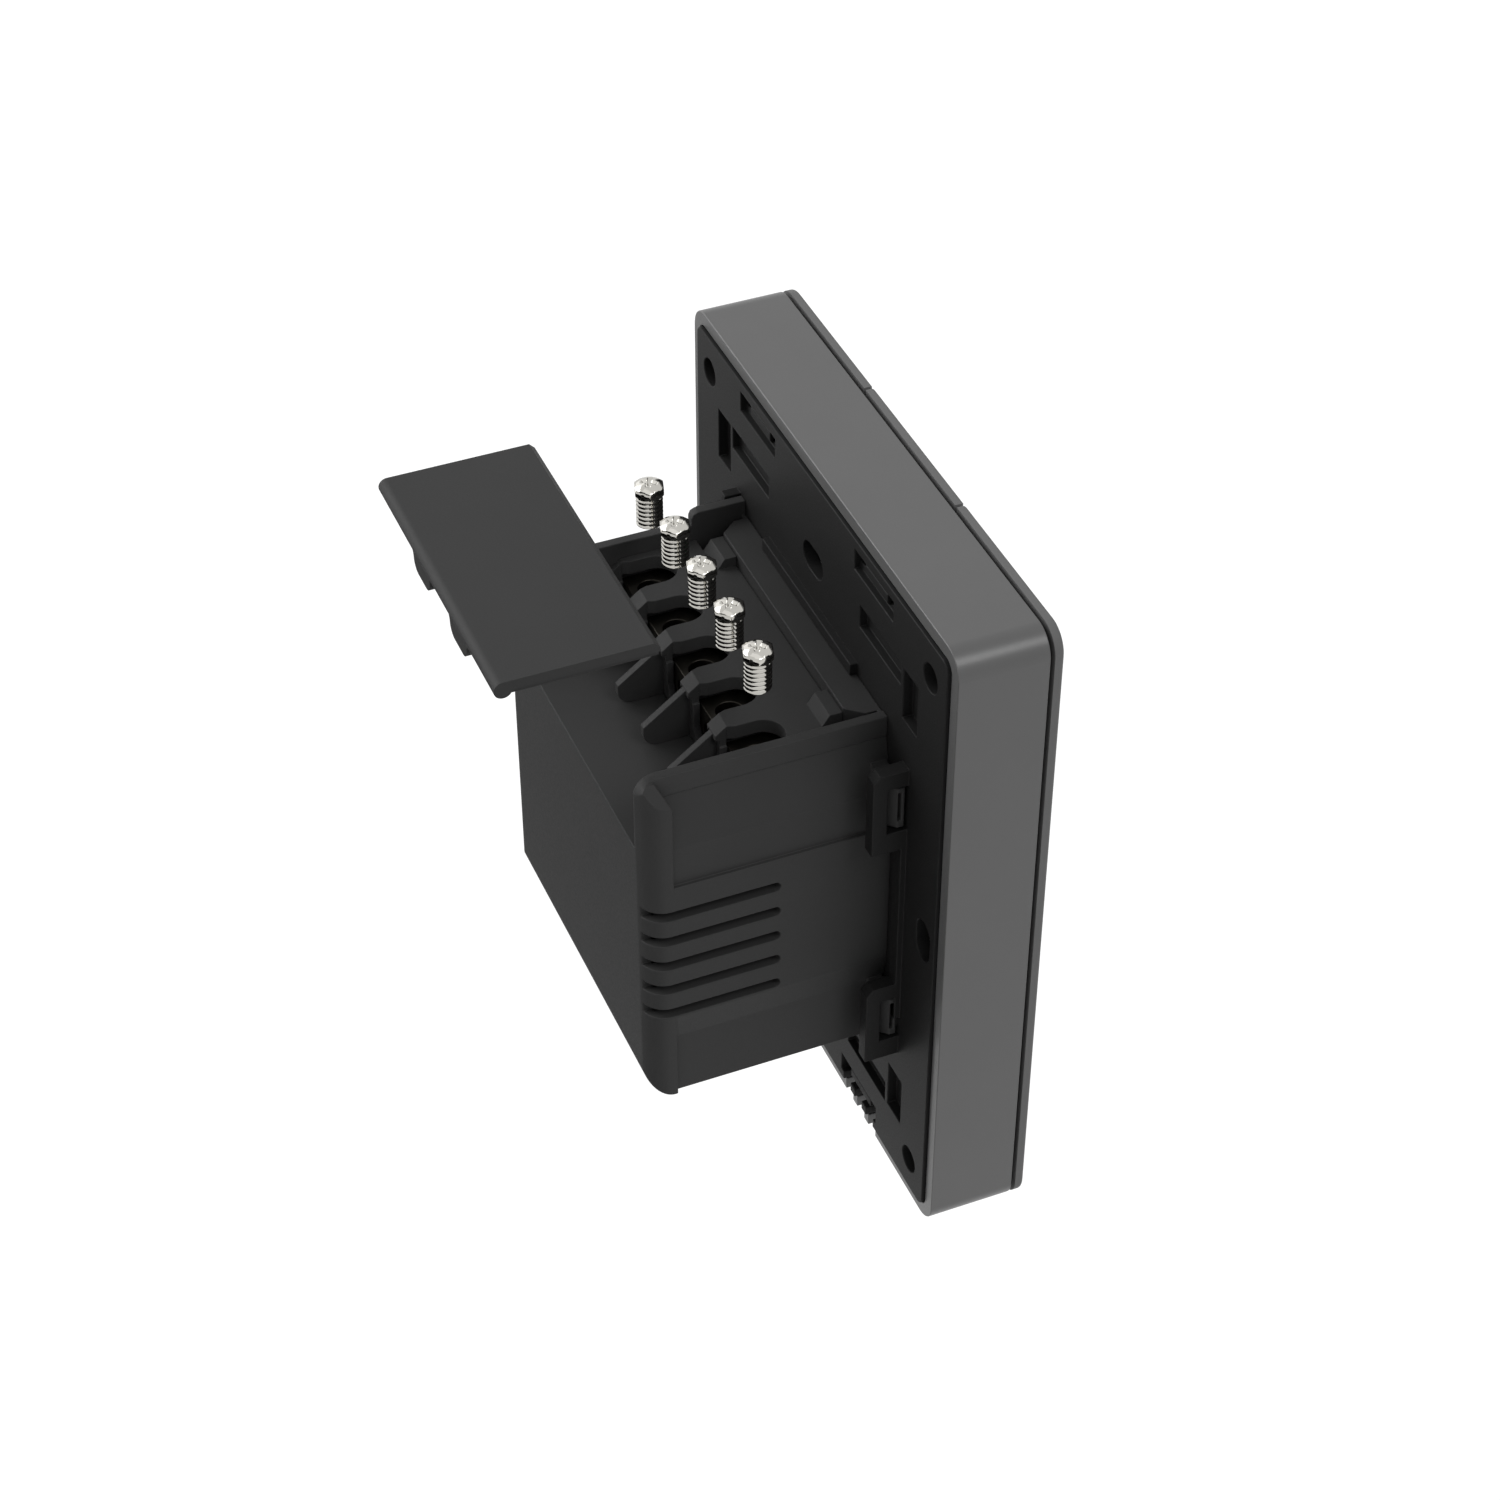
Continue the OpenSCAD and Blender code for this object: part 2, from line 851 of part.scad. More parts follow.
// One terminal's cell, its screwdriver slot, its wire entry and its solder tail holes
module terminal_cell() {
    half = cell_w / 2;
    block([-half, half], [block_front - 0.2, block_back + 0.1], [block_bottom, deck_z - deck_t]);
    slot_cut(slot_w / 2, wire_z, deck_z + 1);
    y_rod(0, wire_z + 0.6, slot_w / 2, block_back, deck_back + 1);
    along_z(deck_z - deck_t - 1, deck_z + 1)
        polygon([
            [-slot_w / 2, land_front - 1],
            [slot_w / 2, land_front - 1],
            [(term_pitch - land_w) / 2, land_front],
            [(term_pitch - land_w) / 2, land_back + 1],
            [-(term_pitch - land_w) / 2, land_back + 1],
            [-(term_pitch - land_w) / 2, land_front]
        ]);
    for (y = tail_places())
        z_rod(0, y, tail_r + 0.1, cavity_top - 1, block_bottom + 1);
}

function tail_places() = [block_front + 1.6, block_back - 1.6];

module slot_cut(r, z0, z1) {
    block([-r, r], [slot_front + r, deck_back + 1], [z0, z1]);
    z_rod(0, slot_front + r, r, z0, z1);
}

// Low pad on the deck beside each end of the strip, sloping down to the back
module deck_pad() {
    along_x(pad_in, pad_out)
        polygon([
            [strip_y + carrier_play, deck_z - eps],
            [strip_y + carrier_play, pad_z],
            [pad_back, pad_z],
            [pad_foot, deck_z],
            [pad_foot, deck_z - eps]
        ]);
}

// Fin between two wires, with a sloping top and a rounded lower corner
module fin() {
    low = shelf_z + carrier_play;
    along_x(-fin_t / 2, fin_t / 2) {
        polygon([
            [deck_back - 1, low],
            [fin_back - fin_round, low],
            [fin_back, low + fin_round],
            [fin_back, fin_low],
            [land_back, fin_top],
            [deck_back - 1, fin_top]
        ]);
        translate([fin_back - fin_round, low + fin_round])
            circle(fin_round);
    }
}

// Cover that closes the terminals, shown lifted up and back
module terminal_cover() {
    color(dark_plastic)
        translate([0, cover_back, cover_up])
            cover_form();
}

module cover_form() {
    low = deck_z + 0.1;
    high = low + cover_t;
    back = cover_front + cover_l;
    bead_r = cover_t / 2;
    step = 0.7;
    along_x(-cover_half, cover_half)
        polygon([
            [cover_front, low + 1],
            [cover_front, high - 0.8],
            [cover_front + 0.8, high],
            [back - bead_r, high],
            [back - bead_r, low + 1]
        ]);
    along_x(-cover_half + step, cover_half - step)
        polygon([
            [cover_front, low],
            [cover_front, low + 1 + eps],
            [back - bead_r, low + 1 + eps],
            [back - bead_r, low]
        ]);
    x_rod(back - bead_r, low + bead_r, bead_r, -cover_half, cover_half);
    for (s = [-1, 1])
        along_y(back - 2 * bead_r + 0.3, back - 0.6)
            translate([s * lip_x, low])
                lip_outline();
}

// A hanging lip whose sides run into the cover in a double curve
module lip_outline() {
    r = lip_drop / 2;
    foot = lip_w / 2 - 2 * r;
    translate([-foot, -lip_drop])
        square([2 * foot, lip_drop + 1]);
    for (s = [0, 1])
        mirror([s, 0])
            translate([foot, 0]) {
                translate([0, -r])
                    circle(r);
                difference() {
                    translate([0, -r])
                        square([2 * r, r + 1]);
                    translate([2 * r, -r])
                        circle(r);
                }
            }
}

// Terminal screw with a six-sided domed head and a cross recess, shown lifted out
module terminal_screw(i) {
    head_r = head_d / 2;
    color(chrome)
        translate([term_x(i), screw_y, screw_lift]) {
            difference() {
                rotate([0, 0, head_turn])
                    intersection() {
                        cylinder_z(head_r, head_z, head_top, 6);
                        head_profile(head_r);
                    }
                rotate([0, 0, head_turn + cross_turn])
                    for (a = [0, 90])
                        rotate([0, 0, a])
                            cross_wing();
            }
            cylinder_z(thread_d / 2, tip_z + 0.4, head_z + eps, 48);
            translate([0, 0, tip_z])
                cylinder(h = 0.4, r1 = thread_d / 2 - 0.4, r2 = thread_d / 2);
        }
}

head_turn = 43;
cross_turn = 15;
cross_w = 0.7;
cross_half = 1.4;
cross_floor = 0.5;
cross_deep = 1.1;
dome_r = 3.7;

// Turned form that rounds the head's top and bevels its underside
module head_profile(r) {
    rotate_extrude()
        intersection() {
            translate([0, head_top - dome_r])
                circle(dome_r);
            polygon([
                [0, head_z],
                [thread_d / 2 + 0.1, head_z],
                [r + 0.3, head_z + 0.8],
                [r + 0.3, head_top + 1],
                [0, head_top + 1]
            ]);
        }
}

// Two opposite wings of the cross recess, narrowing towards their floor
module cross_wing() {
    top = head_top + 0.2;
    rotate([90, 0, 0])
        translate([0, 0, -cross_w / 2])
            linear_extrude(cross_w)
                polygon([
                    [-cross_floor, head_top - cross_deep],
                    [cross_floor, head_top - cross_deep],
                    [cross_half, top],
                    [-cross_half, top]
                ]);
}

module cylinder_z(r, z0, z1, sides) {
    translate([0, 0, z0])
        cylinder(h = z1 - z0, r = r, $fn = sides);
}

// Brass terminal block with a threaded hole, a wire hole and two solder tails
module terminal_block(i) {
    color(brass)
        translate([term_x(i), 0, 0]) {
            difference() {
                block([-block_w / 2, block_w / 2], [block_front, block_back], [block_bottom, block_top]);
                z_rod(0, screw_y, thread_d / 2 + 0.05, wire_z, block_top + 1);
                y_rod(0, wire_z, wire_r, block_front + 1.2, block_back + 1);
            }
            for (y = tail_places())
                z_rod(0, y, tail_r, power_low + 0.05, block_bottom + eps);
        }
}

// Board behind the keys
board_inset = 10;
module control_board() {
    half = half_w - board_inset;
    color(board_green)
        difference() {
            block([-half, half], [board_front_y, board_back_y], [hook_z + 2.6, adjust_z + 2.7]);
            for (x = [-1, 1])
                for (z = [board_screw_low, board_screw_high])
                    y_rod(x * board_screw_x, z, 1.1, board_front_y - 1, board_back_y + 1);
        }
}

// Body of a push button, with the well that its plunger slides in
module push_button(x) {
    color(black_plastic)
        translate([x, 0, tact_z])
            difference() {
                block(
                    [-tact_size / 2, tact_size / 2],
                    [board_front_y - tact_h, board_front_y],
                    [-tact_size / 2, tact_size / 2]
                );
                y_rod(
                    0, 0, plunger_r + plunger_play,
                    board_front_y - tact_h - 1, board_front_y - tact_h + plunger_in + press_room
                );
            }
}

module plunger(x) {
    color(soft_plastic)
        y_rod(
            x, tact_z, plunger_r,
            board_front_y - tact_h - plunger_out, board_front_y - tact_h + plunger_in
        );
}

module indicator_lights() {
    color("white")
        for (x = [-side_key_x, 0, side_key_x])
            block([x - 1, x + 1], [board_front_y - 0.7, board_front_y], [light_z - 0.8, light_z + 0.8]);
}

// Radio on the back of the control board, under its metal shield
radio_low = 17.5;
radio_w = 18;
radio_l = 18;
radio_t = 0.8;
shield_w = 15;
shield_l = 12;
shield_h = 2.2;
shield_t = 0.3;
module radio_board() {
    color(board_green)
        block(
            [-radio_w / 2, radio_w / 2],
            [board_back_y, board_back_y + radio_t],
            [radio_low, radio_low + radio_l]
        );
}
module radio_shield() {
    in = shield_w / 2 - shield_t;
    color(chrome)
        translate([0, board_back_y + radio_t, radio_low + 1])
            difference() {
                block([-shield_w / 2, shield_w / 2], [0, shield_h], [0, shield_l]);
                block([-in, in], [-1, shield_h - shield_t], [shield_t, shield_l - shield_t]);
            }
}

// Plug-in link between the two boards: socket on the front one, pins on the rear one
module board_socket() {
    color(black_plastic)
        difference() {
            block(
                [-header_half - 0.5, header_half + 0.5],
                [board_back_y, -plate_t - 0.6],
                [header_z - 1.25, header_z + 1.25]
            );
            header_pins(header_pin + 0.1, board_back_y + 1, 0);
        }
}
module board_header() {
    color(black_plastic)
        block(
            [-header_half - 0.5, header_half + 0.5],
            [header_front, header_back],
            [header_z - 1.25, power_low]
        );
    color(brass)
        header_pins(header_pin, board_back_y + 1.6, header_front + eps);
}
module header_pins(w, y0, y1) {
    for (k = [0 : pin_n - 1])
        translate([(k - (pin_n - 1) / 2) * header_pitch, 0, header_z])
            block([-w / 2, w / 2], [y0, y1], [-w / 2, w / 2]);
}

// Screws that hold the control board to the frame
module board_screws() {
    color(chrome)
        for (x = [-1, 1])
            for (z = [board_screw_low, board_screw_high])
                translate([x * board_screw_x, 0, z]) {
                    y_rod(0, 0, 0.9, web_back_y + 0.4, board_back_y + eps);
                    difference() {
                        y_rod(0, 0, 1.8, board_back_y, board_back_y + 1.3);
                        for (a = [0, 90])
                            rotate([0, a, 0])
                                translate([0, board_back_y + 1.3, 0])
                                    cube([2, 1.2, 0.5], center = true);
                    }
                }
}

// Board inside the module, under the terminals
module power_board() {
    color(board_green)
        difference() {
            block([-power_half, power_half], [1, module_depth - shell_t - 0.6], [power_low, power_z]);
            for (i = [0 : term_n - 1])
                for (y = tail_places())
                    z_rod(term_x(i), y, tail_r + 0.1, power_low - 1, power_z + 1);
        }
}

// Row of small parts behind the header, and the relays behind the row, up to the module's back
row_half = 4.6;
row_gap = 0.8;
header_gap = 0.7;
row_y = header_back + header_gap + row_half;
relay_w = 10.2;
relay_h = 15.4;
relay_pitch = 15.5;
relay_back_gap = 1.2;
relay_front = row_y + row_half + row_gap;
relay_l = module_depth - shell_t - relay_back_gap - relay_front;
module relay(k) {
    color(black_plastic)
        translate([k * relay_pitch, relay_front, power_low - relay_h])
            difference() {
                block([-relay_w / 2, relay_w / 2], [0, relay_l], [0, relay_h]);
                for (s = [-1, 1])
                    translate([s * relay_w / 2, 0, 0])
                        rotate([0, 45, 0])
                            cube([0.8, 3 * relay_l, 0.8], center = true);
            }
}

// Each small part's place across the row, and its sizes
core_x = -16.5;
core_w = 14;
core_h = 10;
leg_w = 2.6;
bobbin_h = 1;

// Transformer: a core with three legs on its winding bobbin
module transformer() {
    top = power_low - bobbin_h;
    window_w = core_w / 2 - 2 * leg_w - 0.2;
    translate([core_x, row_y, 0]) {
        color("#3a3226")
            difference() {
                block([-core_w / 2, core_w / 2], [-row_half, row_half], [top - core_h, top]);
                for (s = [-1, 1])
                    translate([s * (leg_w + window_w / 2), 0, 0])
                        block(
                            [-window_w / 2, window_w / 2],
                            [-row_half - 1, row_half + 1],
                            [top - core_h + leg_w, top - leg_w]
                        );
            }
        color(black_plastic)
            block([-core_w / 2 + 0.6, core_w / 2 - 0.6], [1 - row_half, row_half - 1], [top, power_low]);
    }
}

capacitor_x = -2;
capacitor_r = 4;
capacitor_h = 12;
seal_h = 0.6;
module capacitor() {
    color("#1c2a52") {
        z_rod(capacitor_x, row_y, capacitor_r, power_low - capacitor_h, power_low - seal_h);
        z_rod(capacitor_x, row_y, capacitor_r - 0.4, power_low - seal_h, power_low);
    }
}

fuse_x = 7.4;
fuse_l = 8.6;
fuse_w = 4;
fuse_h = 7.5;
module fuse() {
    color("#c9b48a")
        translate([fuse_x, row_y, 0])
            difference() {
                block([-fuse_l / 2, fuse_l / 2], [-fuse_w / 2, fuse_w / 2], [power_low - fuse_h, power_low]);
                block(
                    [-fuse_l / 2 - 1, fuse_l / 2 + 1],
                    [-fuse_w / 2 - 1, 0.4 - fuse_w / 2],
                    [power_low - fuse_h - 1, power_low - fuse_h + 0.5]
                );
            }
}

// Disc varistor standing on its two leads
varistor_x = 17.6;
varistor_r = 4.8;
varistor_t = 3.2;
lead_gap = 1.8;
lead_pitch = 5;
module varistor() {
    color("#2c4f8a")
        y_rod(
            varistor_x, power_low - lead_gap - varistor_r, varistor_r,
            row_y - varistor_t / 2, row_y + varistor_t / 2
        );
    color(chrome)
        for (s = [-1, 1])
            z_rod(varistor_x + s * lead_pitch / 2, row_y, 0.4, power_low - lead_gap - 1.2, power_low);
}

face_frame();
key_left();
key_middle();
key_right();
light_pipe(-side_key_x);  // light_pipe_left
light_pipe(0);  // light_pipe_middle
light_pipe(side_key_x);  // light_pipe_right
back_plate();
rear_housing();
terminal_carrier();
terminal_cover();
terminal_screw(0);  // terminal_screw_1
terminal_screw(1);  // terminal_screw_2
terminal_screw(2);  // terminal_screw_3
terminal_screw(3);  // terminal_screw_4
terminal_screw(4);  // terminal_screw_5
terminal_block(0);  // terminal_block_1
terminal_block(1);  // terminal_block_2
terminal_block(2);  // terminal_block_3
terminal_block(3);  // terminal_block_4
terminal_block(4);  // terminal_block_5
control_board();
push_button(-side_key_x);  // button_left
push_button(0);  // button_middle
push_button(side_key_x);  // button_right
plunger(-side_key_x);  // plunger_left
plunger(0);  // plunger_middle
plunger(side_key_x);  // plunger_right
indicator_lights();
radio_board();
radio_shield();
board_socket();
board_header();
board_screws();
power_board();
relay(-1);  // relay_1
relay(0);  // relay_2
relay(1);  // relay_3
transformer();
capacitor();
fuse();
varistor();
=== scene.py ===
"""Smart light switch from behind, its terminal cover and terminal screws lifted clear for wiring."""

import math

import bmesh
import bpy
from bpy.props import FloatProperty, FloatVectorProperty, IntProperty, PointerProperty
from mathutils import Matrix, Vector


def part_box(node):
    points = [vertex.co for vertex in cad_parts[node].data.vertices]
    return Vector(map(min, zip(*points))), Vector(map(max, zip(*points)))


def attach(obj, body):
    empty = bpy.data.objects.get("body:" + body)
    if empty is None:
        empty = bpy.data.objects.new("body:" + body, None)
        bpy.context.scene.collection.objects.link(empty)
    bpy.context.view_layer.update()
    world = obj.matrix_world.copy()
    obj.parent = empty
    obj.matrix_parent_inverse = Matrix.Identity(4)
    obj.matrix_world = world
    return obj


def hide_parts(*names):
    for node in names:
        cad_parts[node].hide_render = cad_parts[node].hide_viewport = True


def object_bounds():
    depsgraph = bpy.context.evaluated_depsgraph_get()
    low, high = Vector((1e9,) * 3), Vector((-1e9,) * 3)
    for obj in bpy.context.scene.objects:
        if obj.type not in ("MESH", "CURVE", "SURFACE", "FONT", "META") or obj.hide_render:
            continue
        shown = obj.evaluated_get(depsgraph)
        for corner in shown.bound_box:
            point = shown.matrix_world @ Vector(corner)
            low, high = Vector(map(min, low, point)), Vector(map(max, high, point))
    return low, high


bl_info = {
    "name": "Smart light switch",
    "version": (1, 0, 0),
    "blender": (4, 5, 0),
    "location": "View3D > Sidebar > Light Switch",
    "description": "Builds the finish of a flush smart light switch round its packed model",
    "category": "Object",
}

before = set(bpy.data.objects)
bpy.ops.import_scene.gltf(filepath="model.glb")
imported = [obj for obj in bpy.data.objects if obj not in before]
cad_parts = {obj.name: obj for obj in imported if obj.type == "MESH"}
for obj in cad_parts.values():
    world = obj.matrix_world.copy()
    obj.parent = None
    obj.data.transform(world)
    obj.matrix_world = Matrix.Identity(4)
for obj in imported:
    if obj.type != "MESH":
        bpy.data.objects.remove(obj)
CAD_BOX = [list(corner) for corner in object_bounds()]
MM = 0.001
SIDES = ("left", "middle", "right")
RELAYS = range(1, 4)
SCREWS = range(1, 6)

TOUCHING = 0.001 * MM  # corners closer than this are one corner
FLAT_ANGLE = math.radians(0.3)  # faces that meet flatter than this are one face
CURVE_ANGLE = math.radians(9.5)  # edges flatter than this belong to a curved face
CREASE_ANGLE = math.radians(35)

# The face frame's plate hooks, which get painted shade, as distances from the switch's two middle
# planes
HOOK_ACROSS = (15.9 * MM, 23.1 * MM)
HOOK_UP = (45.7 * MM, 48.1 * MM)

SCREW_RADIUS = 1.9 * MM
THREAD_CREST = (0.36, 0.64)  # where in a turn the thread's crest starts and ends
HEAD_OVERLAP = 0.1 * MM  # how much of the solid's shank stays under the head

# The photograph's camera, worked out from the panel's and the module's edges
VIEW_AZIMUTH = math.radians(247.4)
VIEW_ELEVATION = math.radians(40.65)
CAMERA_PLACE = Vector((-328.1, 145.8, 311.6)) * MM
FOCAL_LENGTH = 79.83

# Name, azimuth and elevation in degrees, width in metres, power in watts
SOFTBOXES = (
    ("Top softbox", 215, 68, 1.0, 1.0),
    ("Rear softbox", 140, 30, 1.0, 11.5),
    ("Far softbox", 100, 30, 0.8, 1.4),
    ("Near softbox", 291, 49, 0.5, 5.0),
)
LAMP_DISTANCE = 1.2
FLOOR_HALF = 6
CARD_HALF = 0.24
CARD_PLACE = (0.04, 0.3)
CARD_LIFT = 1 * MM


def linear(hex_colour):
    """Turns an sRGB hex colour into the linear colour that a socket takes."""
    parts = [int(hex_colour[k : k + 2], 16) / 255 for k in (1, 3, 5)]
    turned = [c / 12.92 if c <= 0.04045 else ((c + 0.055) / 1.055) ** 2.4 for c in parts]
    return (*turned, 1.0)


def add_node(tree, kind, values=None, links=None, **settings):
    """Adds a node to a tree, with its settings, its input values and its incoming links."""
    made = tree.nodes.new(kind)
    for name, value in settings.items():
        setattr(made, name, value)
    for socket, value in (values or {}).items():
        made.inputs[socket].default_value = value
    for socket, source in (links or {}).items():
        tree.links.new(source, made.inputs[socket])
    return made


def empty_material(name):
    """A new node material with nothing in it."""
    made = bpy.data.materials.new(name)
    made.use_nodes = True
    made.node_tree.nodes.clear()
    return made


def finish_surface(material, shader):
    """Links a shader to the material's output and gives the material back."""
    add_node(material.node_tree, "ShaderNodeOutputMaterial", links={"Surface": shader.outputs[0]})
    return material


def object_noise(tree, size, detail=2.0):
    """Noise in the object's own metres, whose features are about `size` across."""
    place = add_node(tree, "ShaderNodeTexCoord")
    return add_node(
        tree,
        "ShaderNodeTexNoise",
        {"Scale": 1 / size, "Detail": detail, "Roughness": 0.55},
        {"Vector": place.outputs["Object"]},
    )


def between(tree, source, low, high):
    """Turns a noise value of 0.3 to 0.7 into one between two limits."""
    limits = {"From Min": 0.3, "From Max": 0.7, "To Min": low, "To Max": high}
    return add_node(tree, "ShaderNodeMapRange", limits, {"Value": source}).outputs["Result"]


def shaded_colour(tree, source, colour, spread):
    """A colour that noise lightens and darkens a little."""
    dark = [c * (1 - spread) for c in colour[:3]] + [1.0]
    light = [c * (1 + spread) for c in colour[:3]] + [1.0]
    mix = add_node(
        tree, "ShaderNodeMix", {"A": dark, "B": light}, {"Factor": source}, data_type="RGBA"
    )
    return mix.outputs["Result"]


def moulded_abs(name, colour, grain, roughness=0.55, specular=0.12):
    """Spark-eroded ABS: an even matt face with a fine pebbled grain and faint flow marks.

    The real grain is about 0.05 mm, too fine to show, so it is drawn some five times coarser.
    """
    material = empty_material(name)
    tree = material.node_tree
    pebble = object_noise(tree, grain).outputs["Fac"]
    flow = object_noise(tree, 60 * grain, 4.0).outputs["Fac"]
    bump = add_node(
        tree, "ShaderNodeBump", {"Strength": 0.25, "Distance": grain / 20}, {"Height": pebble}
    )
    shader = add_node(
        tree,
        "ShaderNodeBsdfPrincipled",
        {"Metallic": 0.0, "IOR": 1.53, "Specular IOR Level": specular},
        {
            "Base Color": shaded_colour(tree, between(tree, flow, 0, 1), colour, 0.03),
            "Roughness": between(tree, pebble, roughness - 0.05, roughness + 0.05),
            "Normal": bump.outputs["Normal"],
        },
    )
    return finish_surface(material, shader)


def plated_metal(name, colour, roughness, mark=0.4 * MM):
    """Plated or machined metal: a bright metal with faint cloudiness and fine tool marks."""
    material = empty_material(name)
    tree = material.node_tree
    cloud = object_noise(tree, 6 * mark, 3.0).outputs["Fac"]
    fine = object_noise(tree, mark).outputs["Fac"]
    bump = add_node(
        tree, "ShaderNodeBump", {"Strength": 0.15, "Distance": mark / 30}, {"Height": fine}
    )
    shader = add_node(
        tree,
        "ShaderNodeBsdfPrincipled",
        {"Metallic": 1.0},
        {
            "Base Color": shaded_colour(tree, between(tree, cloud, 0, 1), colour, 0.04),
            "Roughness": between(tree, cloud, roughness * 0.8, roughness * 1.2),
            "Normal": bump.outputs["Normal"],
        },
    )
    return finish_surface(material, shader)


def glossy_resin(name, colour, roughness=0.25, weave=0.5 * MM):
    """Solder resist, epoxy or a gloss moulding: smooth, slightly uneven under the gloss."""
    material = empty_material(name)
    tree = material.node_tree
    uneven = object_noise(tree, weave).outputs["Fac"]
    bump = add_node(
        tree, "ShaderNodeBump", {"Strength": 0.2, "Distance": weave / 40}, {"Height": uneven}
    )
    shader = add_node(
        tree,
        "ShaderNodeBsdfPrincipled",
        {"Metallic": 0.0, "IOR": 1.5},
        {
            "Base Color": shaded_colour(tree, between(tree, uneven, 0, 1), colour, 0.08),
            "Roughness": between(tree, uneven, roughness * 0.8, roughness * 1.2),
            "Normal": bump.outputs["Normal"],
        },
    )
    return finish_surface(material, shader)


def clear_polycarbonate(name, colour):
    """Clear moulded polycarbonate, slightly frosted where it spreads the indicator's light."""
    material = empty_material(name)
    tree = material.node_tree
    frost = object_noise(tree, 0.2 * MM).outputs["Fac"]
    shader = add_node(
        tree,
        "ShaderNodeBsdfPrincipled",
        {"Base Color": colour, "IOR": 1.58, "Transmission Weight": 0.7},
        {"Roughness": between(tree, frost, 0.25, 0.4)},
    )
    return finish_surface(material, shader)


def soften(node_name, radius, material, join=TOUCHING, limited=False):
    """Gives a CAD node its material and rounds its sharp edges as a mould or a cutter leaves them.

    Corners closer than `join` become one. A `limited` rounding is only as large as the shortest
    edge allows, for forms whose outlines run into each other so flatly that a larger one tears.
    """
    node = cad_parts[node_name]
    weld = node.modifiers.new("Weld", "WELD")
    weld.merge_threshold = join
    flat = node.modifiers.new("Flat faces", "DECIMATE")
    flat.decimate_type = "DISSOLVE"
    flat.angle_limit = FLAT_ANGLE
    flat.delimit = {"MATERIAL"}
    if radius > 0:
        edge = node.modifiers.new("Edges", "BEVEL")
        edge.width = radius
        edge.segments = 2
        edge.limit_method = "ANGLE"
        edge.angle_limit = CURVE_ANGLE
        edge.use_clamp_overlap = limited
    shade = node.modifiers.new("Large faces lead", "WEIGHTED_NORMAL")
    shade.mode = "FACE_AREA"
    node.data.polygons.foreach_set("use_smooth", [True] * len(node.data.polygons))
    node.data.materials.clear()
    node.data.materials.append(material)
    return node


def paint_shade_on_hooks(panel, material):
    """Paints shade on the hooks that show in the back plate's slots: they take the dark plate
    material in place of the shadow that falls in there.
    """
    panel.data.materials.append(material)
    hook_shade_mask = [
        HOOK_ACROSS[0] < abs(v.co.x) < HOOK_ACROSS[1] and HOOK_UP[0] < abs(v.co.z) < HOOK_UP[1]
        for v in panel.data.vertices
    ]
    for face in panel.data.polygons:
        if all(hook_shade_mask[k] for k in face.vertices):
            face.material_index = 1


def piece_from(bm, name, material, body, slot, *nodes):
    """Turns a bmesh into a finished piece that rides on a body and stands for CAD nodes."""
    bmesh.ops.recalc_face_normals(bm, faces=bm.faces)
    mesh = bpy.data.meshes.new(name)
    bm.to_mesh(mesh)
    bm.free()
    mesh.polygons.foreach_set("use_smooth", [True] * len(mesh.polygons))
    mesh.set_sharp_from_angle(angle=CREASE_ANGLE)
    mesh.materials.append(material)
    made = bpy.data.objects.new(name, mesh)
    bpy.context.scene.collection.objects.link(made)
    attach(made, body)
    if nodes:
        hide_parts(*nodes)
    return made


def colour_setting(name, description, hex_colour):
    """A colour in a settings group, given as sRGB hex."""
    return FloatVectorProperty(
        name=name, description=description, subtype="COLOR", size=4, min=0, max=1,
        default=linear(hex_colour),
    )


def length_setting(name, description, low, high, value):
    """A length in a settings group, in metres."""
    return FloatProperty(
        name=name, description=description, subtype="DISTANCE", unit="LENGTH", min=low, max=high,
        default=value,
    )


class MouldedFinish(bpy.types.PropertyGroup):
    """Colours and grain of the moulded parts."""

    frame_colour: colour_setting("Frame", "Colour of the face frame", "#535353")
    key_colour: colour_setting("Keys", "Colour of the rocker keys", "#646464")
    plate_colour: colour_setting("Back plate", "Colour of the back plate", "#1a1a1a")
    housing_colour: colour_setting("Housing", "Colour of the module housing", "#333333")
    cover_colour: colour_setting("Cover", "Colour of the terminal cover", "#313131")
    grain: length_setting("Grain", "Spacing of the moulded grain", 0.05 * MM, 1 * MM, 0.25 * MM)
    edge: length_setting("Edges", "Rounding of moulded edges", 0, 0.4 * MM, 0.15 * MM)


class ScrewDetail(bpy.types.PropertyGroup):
    """Thread and finish of the terminal screws."""

    pitch: length_setting("Pitch", "Pitch of the thread", 0.4 * MM, 1 * MM, 0.7 * MM)
    depth: length_setting("Depth", "Depth of the thread", 0.1 * MM, 0.6 * MM, 0.32 * MM)
    length: length_setting(
        "Shank", "Length of the shank under the head", 4.6 * MM, 5.4 * MM, 5 * MM
    )
    facets: IntProperty(
        name="Steps", description="Steps in one turn of the thread", min=16, max=96, default=48
    )
    colour: colour_setting("Plating", "Colour of the nickel plating", "#bebcb6")


class Stage(bpy.types.PropertyGroup):
    """Light and surroundings."""

    level: FloatProperty(name="Lamp level", description="Strength of the lamps", min=0, default=1)
    ambient: FloatProperty(
        name="Ambient", description="Strength of the room's light", min=0, default=0.4
    )
    floor_drop: length_setting(
        "Floor drop", "How far the floor lies under the switch", 0, 0.5, 60 * MM
    )


